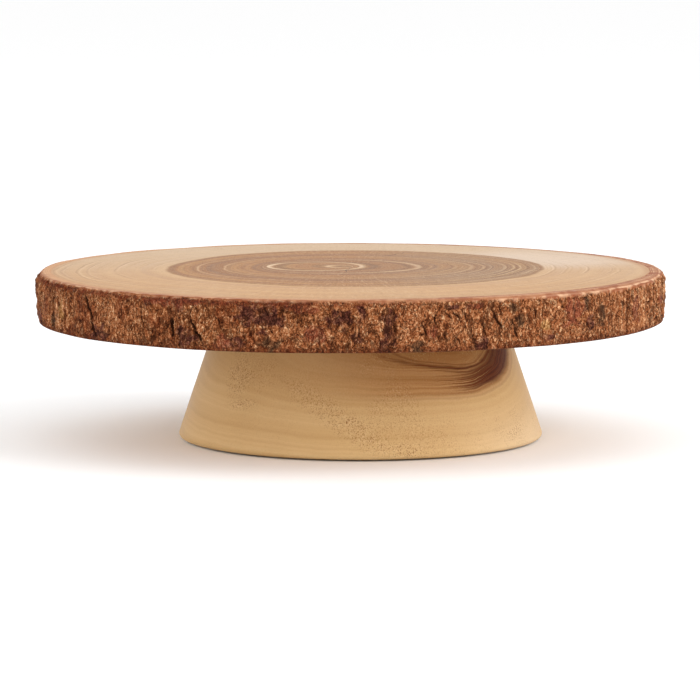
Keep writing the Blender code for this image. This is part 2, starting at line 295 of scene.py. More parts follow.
def mesh_of_rings(name, rings, close_loop=False, sharp=math.radians(40)):
    """A closed mesh through rings of points, each counter-clockwise from above, listed from the bottom up."""
    count, rows = len(rings[0]), len(rings)
    points = np.concatenate([np.asarray(ring, float) for ring in rings])
    faces = []
    for low in range(rows if close_loop else rows - 1):
        high = (low + 1) % rows
        for i in range(count):
            j = (i + 1) % count
            faces.append((low * count + i, low * count + j, high * count + j, high * count + i))
    if not close_loop:
        faces.append(tuple(range(count - 1, -1, -1)))
        faces.append(tuple(range((rows - 1) * count, rows * count)))
    mesh = bpy.data.meshes.new(name)
    mesh.from_pydata(points.tolist(), [], faces)
    mesh.update()
    mesh.shade_smooth()
    mesh.set_sharp_from_angle(angle=sharp)
    return mesh


def circle(radius, height, steps):
    angles = np.arange(steps) * math.tau / steps
    return np.stack([radius * np.cos(angles), radius * np.sin(angles), np.full(steps, height)], axis=1)


# ---- Material graphs ----


class Paint:
    """A material's node graph, with a short call for each kind of node."""

    def __init__(self, name):
        self.material = bpy.data.materials.new(name)
        self.material.use_nodes = True
        self.nodes = self.material.node_tree.nodes
        self.links = self.material.node_tree.links
        self.shader = self.nodes["Principled BSDF"]

    def feed(self, socket, value):
        if isinstance(value, bpy.types.NodeSocket):
            self.links.new(value, socket)
        elif hasattr(value, "__len__") and len(value) == 3 and socket.type == "RGBA":
            socket.default_value = (*value, 1.0)
        else:
            socket.default_value = value

    def node(self, kind, inputs=None, **settings):
        made = self.nodes.new("ShaderNode" + kind)
        for key, value in settings.items():
            setattr(made, key, value)
        for key, value in (inputs or {}).items():
            self.feed(made.inputs[key], value)
        return made

    def here(self, scale=(1.0, 1.0, 1.0)):
        """The place on the object, in metres, times scale."""
        return self.vector("MULTIPLY", self.node("TexCoord").outputs["Object"], scale)

    def math(self, operation, *values):
        made = self.node("Math", operation=operation)
        for socket, value in zip(made.inputs, values):
            self.feed(socket, value)
        return made.outputs[0]

    def times(self, first, second):
        return self.math("MULTIPLY", first, second)

    def plus(self, first, second):
        return self.math("ADD", first, second)

    def minus(self, first, second):
        return self.math("SUBTRACT", first, second)

    def larger(self, first, second):
        return self.math("MAXIMUM", first, second)

    def vector(self, operation, *values):
        made = self.node("VectorMath", operation=operation)
        for socket, value in zip(made.inputs, values):
            self.feed(socket, value)
        return made.outputs["Value" if operation in ("LENGTH", "DISTANCE", "DOT_PRODUCT") else "Vector"]

    def distance(self, first, second):
        return self.vector("LENGTH", self.vector("SUBTRACT", first, second))

    def scaled(self, vector, amount):
        return self.node("VectorMath", {0: vector, "Scale": amount}, operation="SCALE").outputs["Vector"]

    def noise(self, place, scale, detail=2.0, roughness=0.5, distortion=0.0):
        inputs = {"Vector": place, "Scale": scale, "Detail": detail, "Roughness": roughness}
        return self.node("TexNoise", {**inputs, "Distortion": distortion}).outputs["Fac"]

    def noise_vector(self, place, scale, detail=1.0):
        return self.node("TexNoise", {"Vector": place, "Scale": scale, "Detail": detail}).outputs["Color"]

    def noise_line(self, distance, scale, detail=2.0, roughness=0.5):
        """Noise that varies along one distance only."""
        inputs = {"W": distance, "Scale": scale, "Detail": detail, "Roughness": roughness}
        return self.node("TexNoise", inputs, noise_dimensions="1D").outputs["Fac"]

    def cells(self, place, scale, output="Distance", feature="F1"):
        return self.node("TexVoronoi", {"Vector": place, "Scale": scale}, feature=feature).outputs[output]

    def remap(self, value, low, high, to_low=0.0, to_high=1.0, smooth=True):
        inputs = {"Value": value, "From Min": low, "From Max": high, "To Min": to_low, "To Max": to_high}
        kind = "SMOOTHSTEP" if smooth else "LINEAR"
        return self.node("MapRange", inputs, interpolation_type=kind).outputs["Result"]

    def ramp(self, value, *stops):
        made = self.node("ValToRGB", {"Fac": value})
        elements = made.color_ramp.elements
        while len(elements) < len(stops):
            elements.new(1.0)
        for element, (place, colour) in zip(elements, stops):
            element.position = place
            element.color = (*colour, 1.0)
        return made.outputs["Color"]

    def mix(self, share, first, second, blend="MIX"):
        made = self.node("Mix", data_type="RGBA", blend_type=blend)
        self.feed(made.inputs[0], share)
        self.feed(made.inputs[6], first)
        self.feed(made.inputs[7], second)
        return made.outputs[2]

    def blend(self, share, first, second):
        """The number first where share is 0, and second where it is 1."""
        made = self.node("Mix", data_type="FLOAT")
        for socket, value in ((0, share), (2, first), (3, second)):
            self.feed(made.inputs[socket], value)
        return made.outputs[0]

    def axis(self, place, name):
        return self.node("SeparateXYZ", {0: place}).outputs[name]

    def length_of(self, x, y):
        return self.vector("LENGTH", self.node("CombineXYZ", {0: x, 1: y}).outputs[0])

    def attribute(self, name):
        return self.node("Attribute", attribute_name=name).outputs["Fac"]

    def bump(self, height, distance, strength=1.0, under=None):
        inputs = {"Height": height, "Distance": distance, "Strength": strength}
        if under is not None:
            inputs["Normal"] = under
        return self.node("Bump", inputs).outputs["Normal"]

    def finish(self, **inputs):
        """Feeds the shader's sockets, whose names are given with _ for a space, and returns the material."""
        for key, value in inputs.items():
            self.feed(self.shader.inputs[key.replace("_", " ")], value)
        return self.material


def near(paint, value, middle, half_width):
    """1 where value is at middle, falling to 0 at half_width either side."""
    off = paint.math("ABSOLUTE", paint.minus(value, middle))
    return paint.remap(off, 0, half_width, 1, 0)


def pores(paint, place, scale, size, share):
    """Small round marks in a share of the cells."""
    cells = paint.node("TexVoronoi", {"Vector": place, "Scale": scale})
    dot = paint.remap(cells.outputs["Distance"], size * 0.5, size, 1, 0)
    draw = paint.node("SeparateColor", {0: cells.outputs["Color"]}).outputs[0]
    return paint.times(dot, paint.math("LESS_THAN", draw, share))


def hairline(paint, place, start, end, half_width):
    """A thin wandering crack between two points of the slice's face."""
    start, end = Vector(start), Vector(end)
    along, middle = (end - start).normalized(), (start + end) / 2
    across = Vector((-along.y, along.x, 0.0))
    off = paint.vector("SUBTRACT", place, tuple(middle))
    wander = paint.times(paint.minus(paint.noise(place, 90, 2), 0.5), 0.006)
    side = paint.math("ABSOLUTE", paint.plus(paint.vector("DOT_PRODUCT", off, tuple(across)), wander))
    run = paint.math("ABSOLUTE", paint.vector("DOT_PRODUCT", off, tuple(along)))
    width = paint.remap(run, 0, (end - start).length / 2, half_width, 0, smooth=False)
    inside = paint.minus(width, side)
    return paint.remap(inside, -0.0001, half_width * 0.5)


def ring_radius(paint, place):
    """The radius of the growth ring through each point.

    Between two of RING_MIDDLES the middle moves evenly as the circle grows, which leaves a quadratic equation
    for the growth since the first of the two.
    """
    found = None
    for (low, start), (high, end) in reversed(list(zip(RING_MIDDLES, RING_MIDDLES[1:]))):
        drift = (Vector(end) - Vector(start)) / (high - low)
        spare = 1.0 - drift.length_squared
        off = paint.vector("SUBTRACT", place, start)
        half_b = paint.plus(paint.vector("DOT_PRODUCT", off, tuple(drift)), low)
        outside = paint.minus(paint.vector("DOT_PRODUCT", off, off), low * low)
        under_root = paint.math("MULTIPLY_ADD", half_b, half_b, paint.times(outside, spare))
        growth = paint.minus(paint.math("SQRT", paint.larger(under_root, 0.0)), half_b)
        radius = paint.math("MULTIPLY_ADD", growth, 1.0 / spare, low)
        if found is None:
            found = radius
        else:
            inside = paint.math("LESS_THAN", radius, high)
            found = paint.blend(inside, found, radius)
    return found


def sapwood(paint, face, radius, bands, fine, cloud, patchy):
    sap = paint.ramp(bands, *SAPWOOD)
    sap = paint.mix(paint.remap(cloud, 0.35, 0.65, 0, 0.35), sap, SAP_CLOUDS)
    # Painted reflection: paler and whiter towards the back
    back_reflection = paint.remap(paint.axis(face, "Y"), -0.12, 0.16, 0, 0.85)
    sap = paint.mix(back_reflection, sap, SAP_BACK_REFLECTION)
    from_bleach = paint.distance(face, BLEACHED_PLACE)
    bleached = paint.remap(paint.plus(from_bleach, paint.times(cloud, 0.03)), 0.035, 0.095, 0.75, 0)
    sap = paint.mix(bleached, sap, SAP_BLEACHED)
    faint = paint.times(paint.remap(fine, 0.44, 0.64, 0, 0.24), patchy)
    sap = paint.mix(faint, sap, SAP_FINE)
    for ring, half, strength in SAP_LINES:
        line = paint.times(near(paint, radius, ring, half), patchy)
        sap = paint.mix(paint.times(line, strength), sap, SAP_LINE)
        glint = paint.times(near(paint, radius, ring - 1.8 * half, half), patchy)
        sap = paint.mix(paint.times(glint, strength * 0.6), sap, SAP_GLINT)
    return sap


def heartwood(paint, face, radius, bands, fine, cloud, patchy):
    heart = paint.ramp(bands, *HEARTWOOD)
    heart = paint.mix(paint.remap(fine, 0.38, 0.62, 0, 0.42), heart, HEART_FINE)
    to_right = paint.remap(paint.axis(face, "X"), -0.01, 0.08)
    greying = paint.times(to_right, paint.remap(cloud, 0.3, 0.6, 0.3, 0.85))
    heart = paint.mix(greying, heart, paint.ramp(fine, *GREY_HEART))
    for ring, half, strength in PALE_RINGS:
        for edge in (ring - 1.9 * half, ring + 1.9 * half):
            rim = paint.times(near(paint, radius, edge, 1.5 * half), strength * 0.85)
            heart = paint.mix(rim, heart, PALE_RING_RIM)
        pale = paint.times(near(paint, radius, ring, half), strength)
        heart = paint.mix(paint.times(pale, paint.remap(patchy, 0, 1, 0.7, 1)), heart, PALE_RING)
    return heart


def end_grain_marks(paint, face, colour, radius, fine, in_heart):
    """Adds pores, grit, rays and hairline cracks, and gives their depth too."""
    big = pores(paint, face, 520.0, 0.34, 0.45)
    small = pores(paint, face, 1050.0, 0.38, 0.6)
    holes = paint.larger(big, paint.times(small, 0.7))
    crowded = paint.remap(fine, 0.44, 0.58, 0.35, 1)
    showing = paint.times(paint.times(holes, crowded), paint.remap(in_heart, 0, 1, 0.3, 0.85))
    colour = paint.mix(showing, colour, OPEN_PORES)
    grit = paint.noise(face, 1100, 2, 0.7)
    fleck = paint.times(paint.remap(grit, 0.54, 0.7), paint.remap(in_heart, 0, 1, 0.25, 0.6))
    colour = paint.mix(fleck, colour, LIGHT_GRIT)
    outwards = paint.vector("NORMALIZE", paint.vector("SUBTRACT", face, RING_MIDDLES[0][1]))
    spoke = paint.vector("MULTIPLY", outwards, (75.0, 75.0, 0.0))
    along = paint.node("CombineXYZ", {2: paint.times(radius, 110.0)}).outputs[0]
    rays = paint.noise(paint.vector("ADD", spoke, along), 1, 3, 0.68)
    dark = paint.times(paint.remap(rays, 0.5, 0.34), paint.remap(in_heart, 0, 1, 0.13, 0.36))
    colour = paint.mix(dark, colour, DARK_RAYS)
    light = paint.times(paint.remap(rays, 0.54, 0.68), paint.remap(in_heart, 0, 1, 0.2, 0.3))
    colour = paint.mix(light, colour, LIGHT_RAYS)
    cracks = hairline(paint, face, *HAIRLINES[0])
    for crack in HAIRLINES[1:]:
        cracks = paint.larger(cracks, hairline(paint, face, *crack))
    colour = paint.mix(paint.times(cracks, 0.8), colour, HAIRLINE)
    return colour, paint.minus(paint.times(grit, 0.35), paint.larger(holes, cracks))


def end_grain_material():
    """Sanded and lacquered end grain: pale sapwood round a brown heart, with rings that drift to the pith."""
    paint = Paint("slice_end_grain")
    face = paint.here((1.0, 1.0, 0.0))
    waver = paint.times(paint.minus(paint.noise(face, 9, 1), 0.5), 0.012)
    for scale, size in ((30.0, 0.004), (150.0, 0.0009)):
        step = paint.minus(paint.noise(face, scale, 1), 0.5)
        waver = paint.plus(waver, paint.times(step, size))
    true_radius = ring_radius(paint, face)
    steady = paint.remap(true_radius, 0.004, 0.05, 0.15, 1)
    radius = paint.math("MULTIPLY_ADD", waver, steady, true_radius)

    bands = paint.noise_line(radius, 70, 3, 0.6)
    fine = paint.noise_line(radius, 560, 2, 0.6)
    cloud = paint.noise(face, 8, 3, 0.6)
    patchy = paint.remap(paint.noise(face, 14, 2), 0.36, 0.6)
    sap = sapwood(paint, face, radius, bands, fine, cloud, patchy)
    heart = heartwood(paint, face, radius, bands, fine, cloud, patchy)
    heart = paint.mix(paint.remap(true_radius, 0.0008, 0.002, 0.8, 0), heart, PITH)

    squeeze = (1.0, HEART_HALF_WIDTH / HEART_HALF_DEPTH, 0.0)
    from_heart = paint.vector("MULTIPLY", paint.vector("SUBTRACT", face, HEART_CENTRE), squeeze)
    from_heart = paint.plus(paint.vector("LENGTH", from_heart), paint.times(waver, 0.9))
    in_heart = paint.remap(from_heart, HEART_HALF_WIDTH - 0.0016, HEART_HALF_WIDTH + 0.001, 1, 0)
    colour = paint.mix(in_heart, sap, heart)
    border = near(paint, from_heart, HEART_HALF_WIDTH - 0.0012, 0.003)
    colour = paint.mix(paint.times(border, 0.6), colour, HEART_BORDER)
    outward = paint.math("DIVIDE", paint.vector("LENGTH", face), SLICE_RADIUS)
    colour = paint.mix(paint.remap(outward, 0.975, 1, 0, 0.6), colour, SLICE_RIM)
    colour, depth = end_grain_marks(paint, face, colour, radius, fine, in_heart)

    rough = paint.remap(bands, 0.2, 0.8, 0.5, 0.62)
    return paint.finish(
        Base_Color=colour, Roughness=rough, Normal=paint.bump(depth, 0.00012, 0.5), Specular_IOR_Level=0.16
    )


def contour(paint, value, half_width):
    """1 along the lines where a noise crosses its middle."""
    return near(paint, value, 0.5, half_width)


def bark_colour(paint, here, mixed, tone, to_left, red):
    """Rust-brown bark with golden flecks, partly painted highlights on its crumbs, under its plum, slate, red
    and yellow marks.
    """
    blotchy = paint.remap(paint.noise(here, 240, 3, 0.65), 0.34, 0.58, 0.45, 1)
    rust = paint.ramp(mixed, *RUST)
    rust = paint.mix(paint.remap(tone, 0.44, 0.64, 0, to_left), rust, REDDER, "MULTIPLY")
    height = paint.axis(here, "Z")
    edge = paint.remap(height, UNDERSIDE, UNDERSIDE + 0.006, 0.65, 0)
    colour = paint.mix(edge, rust, LOWER_EDGE, "MULTIPLY")
    for name, stops in (("plum", PLUM), ("slate", SLATE)):
        colour = paint.mix(paint.times(paint.attribute(name), blotchy), colour, paint.ramp(mixed, *stops))
    brick = paint.times(red, paint.times(blotchy, 0.85))
    colour = paint.mix(brick, colour, paint.ramp(mixed, *BRICK))
    colour = paint.mix(paint.times(paint.attribute("yellow"), 0.4), colour, paint.ramp(mixed, *MOSS))
    lip = paint.times(near(paint, height, TOP - 0.002, 0.0026), paint.remap(blotchy, 0.45, 1, 0.35, 1))
    lip = paint.times(lip, paint.math("MULTIPLY_ADD", to_left, 1.5, -0.1))
    return paint.mix(lip, colour, LIP)


def sanded_bark(paint, here, tone, to_left):
    """The band along the top, where sanding has opened the bark's layers."""
    out = paint.vector("LENGTH", paint.here((1.0, 1.0, 0.0)))
    layers = paint.noise_line(paint.plus(out, paint.times(tone, 0.002)), 900, 2, 0.6)
    band = paint.ramp(layers, *SANDED_BARK)
    dark = paint.remap(paint.noise(here, 120, 3, 0.65), 0.42, 0.62, 0, 0.75)
    band = paint.mix(dark, band, SANDED_DARK)
    inner = paint.times(paint.remap(out, 0.17, 0.1755, 1.2, 0), to_left)
    return paint.mix(inner, band, SANDED_INNER)


def bark_material():
    """Crumbly bark with a band sanded smooth along the top."""
    paint = Paint("rough_bark")
    here = paint.here()
    relief, sanded, red = (paint.attribute(name) for name in ("relief", "sanded", "red"))
    curl = paint.vector("SUBTRACT", paint.noise_vector(here, 380, 2), (0.5, 0.5, 0.5))
    curled = paint.vector("ADD", here, paint.scaled(curl, 0.003))
    granules = paint.node("TexVoronoi", {"Vector": curled, "Scale": 820.0})
    shade = paint.node("SeparateColor", {0: granules.outputs["Color"]}).outputs[0]
    granule_gap_shade = paint.remap(paint.cells(curled, 820, "Distance", "DISTANCE_TO_EDGE"), 0, 0.13, 1, 0)
    fibres = paint.noise(paint.vector("MULTIPLY", curled, (1, 1, 0.42)), 640, 3, 0.6, 1)
    grains = paint.noise(here, 1250, 2, 0.6)
    highlight_squiggles = contour(paint, paint.noise(here, 360, 2, 0.5, 1.8), 0.105)
    wrinkles = contour(paint, paint.noise(paint.here((1, 1, 0.5)), 230, 2, 0.5, 1.6), 0.046)
    cracks = contour(paint, paint.noise(paint.here((1, 1, 0.26)), 210, 2, 0.5, 0.8), 0.04)
    cracks = paint.times(cracks, paint.remap(paint.noise(here, 42, 2), 0.44, 0.56))
    cracks = paint.larger(paint.times(cracks, 0.75), paint.times(wrinkles, 0.7))
    tone = paint.noise(here, 60, 3, 0.6)
    # Besides the bark's own fibres and granule tones, this mix paints light: thin pale squiggles as painted
    # highlights on the crumbs, raised crumbs lighter and hollows darker from the relief, and painted shade in
    # the gaps between granules
    mixed = paint.plus(paint.times(fibres, 0.58), paint.times(grains, 0.3))
    for value, share in ((shade, 0.08), (relief, 0.075), (highlight_squiggles, 0.085), (granule_gap_shade, -0.045)):
        mixed = paint.math("MULTIPLY_ADD", value, share, mixed)
    to_left = paint.remap(paint.axis(here, "X"), 0.08, -0.06, 0, 0.6)

    colour = bark_colour(paint, here, mixed, tone, to_left, red)
    colour = paint.mix(sanded, colour, sanded_bark(paint, here, tone, to_left))
    # Painted shade: darker in the bark's hollows, cracks and fissures, but not where it is sanded
    cavity_shade = paint.larger(paint.remap(relief, -1.8, -0.5, 0.85, 0), cracks)
    cavity_shade = paint.larger(cavity_shade, paint.remap(paint.attribute("fissure"), 0.15, 0.8, 0, 0.9))
    colour = paint.mix(paint.times(cavity_shade, paint.minus(1.0, sanded)), colour, CAVITY_SHADE)

    height = paint.plus(fibres, paint.times(grains, 0.5))
    height = paint.minus(height, paint.times(cracks, 0.7))
    coarse = paint.bump(height, 0.0012, paint.remap(sanded, 0, 1, 0.9, 0.05))
    rough = paint.remap(sanded, 0, 1, 0.8, 0.6)
    rough = paint.minus(rough, paint.times(red, 0.18))
    return paint.finish(Base_Color=colour, Roughness=rough, Normal=coarse, Specular_IOR_Level=0.06)


# ---- Bark ----


def trunk_radius(angles):
    """The trunk's radius at each angle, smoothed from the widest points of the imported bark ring."""
    points = np.array([v.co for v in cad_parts["bark_ring"].data.vertices])
    round_by = np.arctan2(points[:, 1], points[:, 0]) / math.tau
    bins = np.round(round_by * OUTLINE_BINS).astype(int) % OUTLINE_BINS
    radii = np.hypot(points[:, 0], points[:, 1])
    widest = np.array([radii[bins == b].max() for b in range(OUTLINE_BINS)])
    waves = np.fft.rfft(widest)[:OUTLINE_WAVES] / OUTLINE_BINS
    turns = np.exp(1j * np.outer(angles, np.arange(OUTLINE_WAVES)))
    weights = np.full(OUTLINE_WAVES, 2.0)
    weights[0] = 1.0
    return (turns * (waves * weights)).real.sum(axis=1)


def bark_profile():
    """The bark's section from its inner top edge, over the outside, to its inner bottom edge.

    Each row is (inset, height, outward and upward share of the normal, how rough it is, how sawn it looks).
    """
    rows = []
    top, bottom = BARK_TOP_ROUNDING, BARK_BOTTOM_ROUNDING
    for inset in np.linspace(BARK_WIDTH, top, 7)[:-1]:
        rows.append((inset, TOP, 0.0, 1.0, 0.0, 0.0))
    for share in np.linspace(0.0, 1.0, 13):
        a = math.pi / 2 * share
        height = TOP - top * (1 - math.cos(a))
        rows.append((top * (1 - math.sin(a)), height, math.sin(a), math.cos(a), share, 0.0))
    side = np.linspace(TOP - top, UNDERSIDE + bottom, 31)[1:-1]
    rows.extend((0.0, height, 1.0, 0.0, 1.0, 0.0) for height in side)
    for share in np.linspace(0.0, 1.0, 8):
        a = math.pi / 2 * share
        rough = float(smooth_step(0.75, 0.15, share))
        height = UNDERSIDE + bottom * (1 - math.sin(a))
        sawn = float(smooth_step(0.8, 1.0, share))
        rows.append((bottom * (1 - math.cos(a)), height, math.cos(a), -math.sin(a), rough, sawn))
    for inset in np.linspace(bottom, BARK_WIDTH, 5)[1:]:
        rows.append((inset, UNDERSIDE, 0.0, -1.0, 0.0, 1.0))
    return rows


def mark_strength(marks, degrees, height, waver, radius):
    """How strongly any of the marks shows at each point: 1 inside, 0 outside, with ragged edges."""
    strength = np.zeros_like(height)
    for angle, up, half_width, half_height in marks:
        across = np.radians((degrees - angle + 180.0) % 360.0 - 180.0) * radius * 1000.0 / half_width
        rise = ((height - UNDERSIDE) * 1000.0 - up) / half_height
        off = np.hypot(across, rise) + waver * 0.9
        strength = np.maximum(strength, smooth_step(1.15, 0.75, off))
    return strength


def fissure_depth(fissures, degrees, height, waver, radius):
    """How deep the listed fissures cut at each point, in metres."""
    depth = np.zeros_like(height)
    up = (height - UNDERSIDE) * 1000.0
    for angle_1, up_1, angle_2, up_2, half_width, deep in fissures:
        share = np.clip((up - up_1) / (up_2 - up_1), -0.02, 1.02)
        middle = angle_1 + (angle_2 - angle_1) * share
        off = np.radians((degrees - middle + 180.0) % 360.0 - 180.0) * radius * 1000.0 + waver * 1.6
        taper = np.clip(1.0 - np.abs(2.0 * share - 1.0) ** 3, 0.0, 1.0)
        depth = np.maximum(depth, deep * taper * smooth_step(half_width * 1.6, half_width * 0.3, np.abs(off)))
    return depth / 1000.0


def random_marks(random, count, wide, tall):
    """Marks placed at random over the back of the bark."""
    angles = random.uniform(BACK_FROM, BACK_TO, count)
    heights = random.uniform(2.0, 25.0, count)
    widths = random.uniform(*wide, count)
    talls = random.uniform(*tall, count)
    return list(zip(angles, heights, widths, talls))


def random_fissures(random, count):
    found = []
    for _ in range(count):
        angle, lean = random.uniform(BACK_FROM, BACK_TO), random.uniform(-1.6, 1.6)
        high = random.uniform(13.0, 27.0)
        low = max(1.0, high - random.uniform(8.0, 20.0))
        found.append((angle, high, angle + lean, low, random.uniform(0.35, 0.7), random.uniform(0.7, 1.3)))
    return found


def bark_noise(points):
    """Rows of noise, one for each point: broad, waver, cracks, zones, ridges, grains, flakes and flutes."""
    fields = np.empty((len(points), 8))
    shift = Vector((3.1, 7.7, 1.3))
    for i, point in enumerate(points):
        p = Vector(point)
        upright = Vector((p.x, p.y, p.z * 0.32)) + noise.noise_vector(p * 70.0) * 0.0035
        flaky = Vector((p.x * 170.0, p.y * 170.0, p.z * 120.0)) + noise.noise_vector(p * 150.0) * 0.7
        fields[i] = (
            noise.noise(p * 34.0),
            noise.noise(p * 260.0 + shift),
            noise.noise(upright * 95.0 + shift),
            noise.noise(p * 20.0 + shift),
            noise.noise(upright * 330.0),
            noise.noise(p * 400.0 - shift) + 0.5 * noise.noise(p * 760.0),
            noise.noise(flaky),
            noise.noise(Vector((p.x * 310.0, p.y * 310.0, p.z * 22.0)) + shift),
        )
    return fields


def bark():
    random = np.random.default_rng(RANDOM_SEED)
    noise.seed_set(RANDOM_SEED)  # else noise_vector draws its offsets from the clock
    angles = np.arange(BARK_COLUMNS) * math.tau / BARK_COLUMNS
    outside = trunk_radius(angles)
    rows = bark_profile()
    inset, height, out, up, rough, sawn = (np.array(column) for column in zip(*rows))
    radius = outside[None, :] - inset[:, None]
    cos, sin = np.cos(angles)[None, :], np.sin(angles)[None, :]
    base = np.stack([radius * cos, radius * sin, np.broadcast_to(height[:, None], radius.shape)], axis=2)
    fields = bark_noise(base.reshape(-1, 3)).reshape(*radius.shape, 8)
    broad, waver, cracks, zones, ridges, grains, flakes, flutes = (fields[:, :, k] for k in range(8))

    degrees = np.broadcast_to((np.degrees(angles) + 90.0) % 360.0, radius.shape)
    place = (degrees, base[:, :, 2], waver, outside[None, :])
    marks = {}
    for name, (front, *back) in MARKS.items():
        marks[name] = mark_strength([*front, *random_marks(random, *back)], *place)
    deep = fissure_depth([*FISSURES, *random_fissures(random, BACK_FISSURES)], *place)

    fissured = smooth_step(-0.25, 0.25, zones)
    seams = smooth_step(0.06, 0.0, np.abs(cracks)) * fissured
    edges = smooth_step(0.1, 0.0, np.abs(flakes))
    from_front = (degrees + 180.0) % 360.0 - 180.0
    round_from_front = np.abs(from_front)
    start = SANDED_TO + SANDED_FURTHER * near_angle(from_front, *SANDED_RIGHT) + 0.2 * waver + 0.16 * broad
    rough = smooth_step(start, start + 0.26, rough[:, None]) * (rough > 0.0)[:, None]
    sanded = np.maximum(1.0 - rough, 0.0) * (up >= 0.0)[:, None] + sawn[:, None]
    furrowed = zones - 0.4 * (round_from_front > 100.0)
    fluted = smooth_step(48.0, 62.0, round_from_front) * smooth_step(-0.35, 0.0, furrowed)
    crumbs = ridges * 0.00032 + grains * 0.00048 + flutes * fluted * 0.0013
    crumbs = crumbs - seams * 0.0007 - edges * 0.00048 - deep
    raised = (marks["plum"] + marks["slate"]) * 0.0002
    relief = crumbs + broad * 0.0009 + raised - marks["red"] * 0.0002 - BARK_SETBACK
    calm = 1.0 - 0.55 * marks["red"]
    relief = relief * rough * calm + broad * 0.0002 + grains * 0.00003
    out, up = out[:, None], up[:, None]
    moved = base + np.stack([relief * out * cos, relief * out * sin, relief * up * np.ones_like(cos)], axis=2)
    mesh = mesh_of_rings("bark", list(moved[::-1]), close_loop=True, sharp=math.radians(70))
    layers = {
        "relief": crumbs * calm / RELIEF_SCALE,
        "fissure": deep / RELIEF_SCALE,
        **marks,
        "sanded": sanded,
    }
    for name, values in layers.items():
        layer = mesh.attributes.new(name, "FLOAT", "POINT")
        layer.data.foreach_set("value", values[::-1].astype(np.float32).ravel())
    mesh.materials.append(bark_material())
    return new_object("bark", mesh, ["bark_ring"])


# ---- Pedestal ----


def heart_figure(paint, here, mean_radius):
    """The heart's nested arcs, from 0 inside to 1 at their outer edge, and each point's angle and height."""
    x, y, z = (paint.axis(here, name) for name in "XYZ")
    angle = paint.math("ARCTAN2", x, paint.times(y, -1.0))
    lead = paint.math("WRAP", paint.minus(angle, HEART_ANGLE), math.pi, -math.pi)
    to_right = paint.times(paint.remap(lead, -0.25, 0.25), paint.remap(lead, 2, 3.1, 1, 0))
    reach = paint.blend(to_right, HEART_LEFT / mean_radius, HEART_RIGHT / mean_radius)
    down = paint.math("DIVIDE", paint.minus(z, HEART_HEIGHT), HEART_DOWN)
    arcs = paint.length_of(paint.math("DIVIDE", lead, reach), down)
    drawn = paint.vector("MULTIPLY", here, (0.16, 0.16, 1.0))
    wavers = (
        (paint.noise(here, 13, 1), 0.14),
        (paint.noise(here, 48, 2), 0.07),
        (paint.noise(drawn, 430, 3), 0.06),
    )
    for value, size in wavers:
        arcs = paint.plus(arcs, paint.times(paint.minus(value, 0.5), size))
    return arcs, angle, z


def turned_wood(paint, angle, z, low, high, cloud, bands, fine, on_side):
    """The pedestal's pale wood, with a painted shadow of the slice over its upper front and painted light on
    its lower right.
    """
    pale = paint.ramp(bands, *TURNED_WOOD)
    pale = paint.mix(paint.remap(cloud, 0.36, 0.66, 0, 0.4), pale, TURNED_CLOUDS)
    pale = paint.mix(paint.remap(fine, 0.46, 0.66, 0, 0.08), pale, TURNED_FINE)
    # Painted shadow of the slice: the front of the side darker towards its top
    slice_shadow = paint.times(paint.remap(z, low + 0.014, high, 0, 0.75), near(paint, angle, 0, 0.9))
    pale = paint.mix(slice_shadow, pale, TURNED_SLICE_SHADOW)
    growth = paint.minus(paint.remap(fine, 0.4, 0.6, 0, 0.36), on_side)
    pale = paint.mix(paint.larger(growth, 0.0), pale, TURNED_GROWTH)
    # Painted light: paler towards the foot on the right, where the key light falls
    lit_low_right = paint.times(near(paint, angle, 1.15, 0.75), paint.remap(z, low, low + 0.032, 0.75, 0))
    return paint.mix(paint.times(lit_low_right, on_side), pale, TURNED_LIT_LOW_RIGHT)


def turned_heart(paint, pale, arcs, angle, lines, fine):
    """Adds the brown stain and the dark heart with its trails, and tells how dark each point is."""
    towards_right = paint.remap(angle, math.radians(-28), math.radians(38))
    share = paint.remap(towards_right, 0, 1, 0.1, 0.8)
    stained = paint.times(paint.remap(arcs, 1.02, 0.88), share)
    colour = paint.mix(stained, pale, paint.ramp(lines, *STAIN))
    inmost = paint.times(paint.remap(arcs, 0.4, 0.14, 0, 0.6), towards_right)
    colour = paint.mix(inmost, colour, STAIN_INMOST)
    outline = paint.times(near(paint, arcs, 1.0, 0.045), towards_right)
    colour = paint.mix(paint.times(outline, 0.35), colour, STAIN_OUTLINE)
    ragged = paint.math("MULTIPLY_ADD", paint.minus(fine, 0.5), 0.9, angle)
    dark = paint.times(paint.remap(arcs, 0.42, 0.6), paint.remap(arcs, 0.95, 0.82))
    dark = paint.times(dark, paint.remap(ragged, math.radians(30), math.radians(48)))
    slanted = paint.math("MULTIPLY_ADD", angle, -HEART_SLANT, arcs)
    for arc, half, start, end, strength in HEART_TRAILS:
        trail = paint.times(near(paint, slanted, arc, half), strength)
        trail = paint.times(trail, paint.remap(ragged, math.radians(start), math.radians(end)))
        dark = paint.larger(dark, trail)
    dark = paint.times(dark, paint.remap(lines, 0.34, 0.5, 0.86, 1))
    return paint.mix(dark, colour, paint.ramp(fine, *DARK_HEART)), dark


def pore_crowding(paint, here, angle, z, mean_radius):
    """How thickly the pedestal's pores stand at each point."""
    crowded = paint.remap(paint.noise(here, 30, 3, 0.6), 0.5, 0.66, 0.14, 0.55)
    for patch_angle, height, wide, tall, lean in POROUS_PATCHES:
        turn = paint.math("WRAP", paint.minus(angle, math.radians(patch_angle)), math.pi, -math.pi)
        arc = paint.times(turn, mean_radius)
        up = paint.minus(paint.minus(z, height), paint.times(arc, lean))
        off = paint.length_of(paint.math("DIVIDE", arc, wide), paint.math("DIVIDE", up, tall))
        crowded = paint.larger(crowded, paint.remap(off, 0.35, 1.25, 1, 0))
    return crowded


